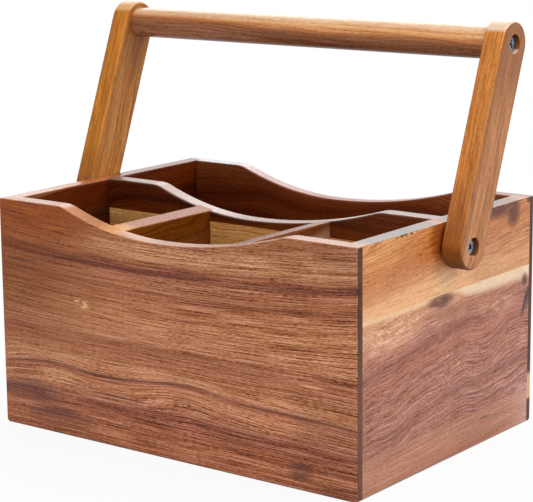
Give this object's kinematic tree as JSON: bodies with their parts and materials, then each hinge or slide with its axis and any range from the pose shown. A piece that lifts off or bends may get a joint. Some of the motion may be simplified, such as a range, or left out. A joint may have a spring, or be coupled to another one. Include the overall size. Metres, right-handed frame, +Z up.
{
  "type": "cutlery caddy",
  "caption": "Open-topped wooden cutlery caddy with a scalloped rim, divided inside, with a swinging grip bar held on two side arms.",
  "frame": {"origin": "centre of the underside, on the surface that it stands on", "axes": "+X along the box to the right end, +Y to the back, where the grip leans, +Z up"},
  "size_m": [0.3106, 0.2, 0.2662],
  "materials": {
    "heartwood": "oiled, satin",
    "golden_stave": "oiled, satin",
    "pink_stave": "oiled, satin",
    "pale_stave": "oiled, satin",
    "zinc": "bright zinc plate"
  },
  "bodies": {
    "caddy": {"front_board": "heartwood", "back_board": "heartwood", "right_end_upper_stave": "golden_stave", "right_end_middle_stave": "pink_stave", "right_end_lower_stave": "pink_stave", "left_end_upper_stave": "golden_stave", "left_end_middle_stave": "pink_stave", "left_end_lower_stave": "pink_stave", "divider_upper_stave": "heartwood", "divider_lower_stave": "pale_stave", "left_cross_divider": "golden_stave", "right_cross_divider": "golden_stave", "floor_board": "heartwood", "pivot_screws": "zinc", "pivot_washers": "zinc"},
    "handle": {"right_arm": "golden_stave", "left_arm": "golden_stave", "grip_bar": "pink_stave", "grip_screws": "zinc"}
  },
  "joints": [
    {"name": "handle_swing", "type": "hinge", "parent": "caddy", "child": "handle", "pos_m": [0, 0, 0.135], "axis": [1, 0, 0], "range_deg": [-97, 139]}
  ]
}
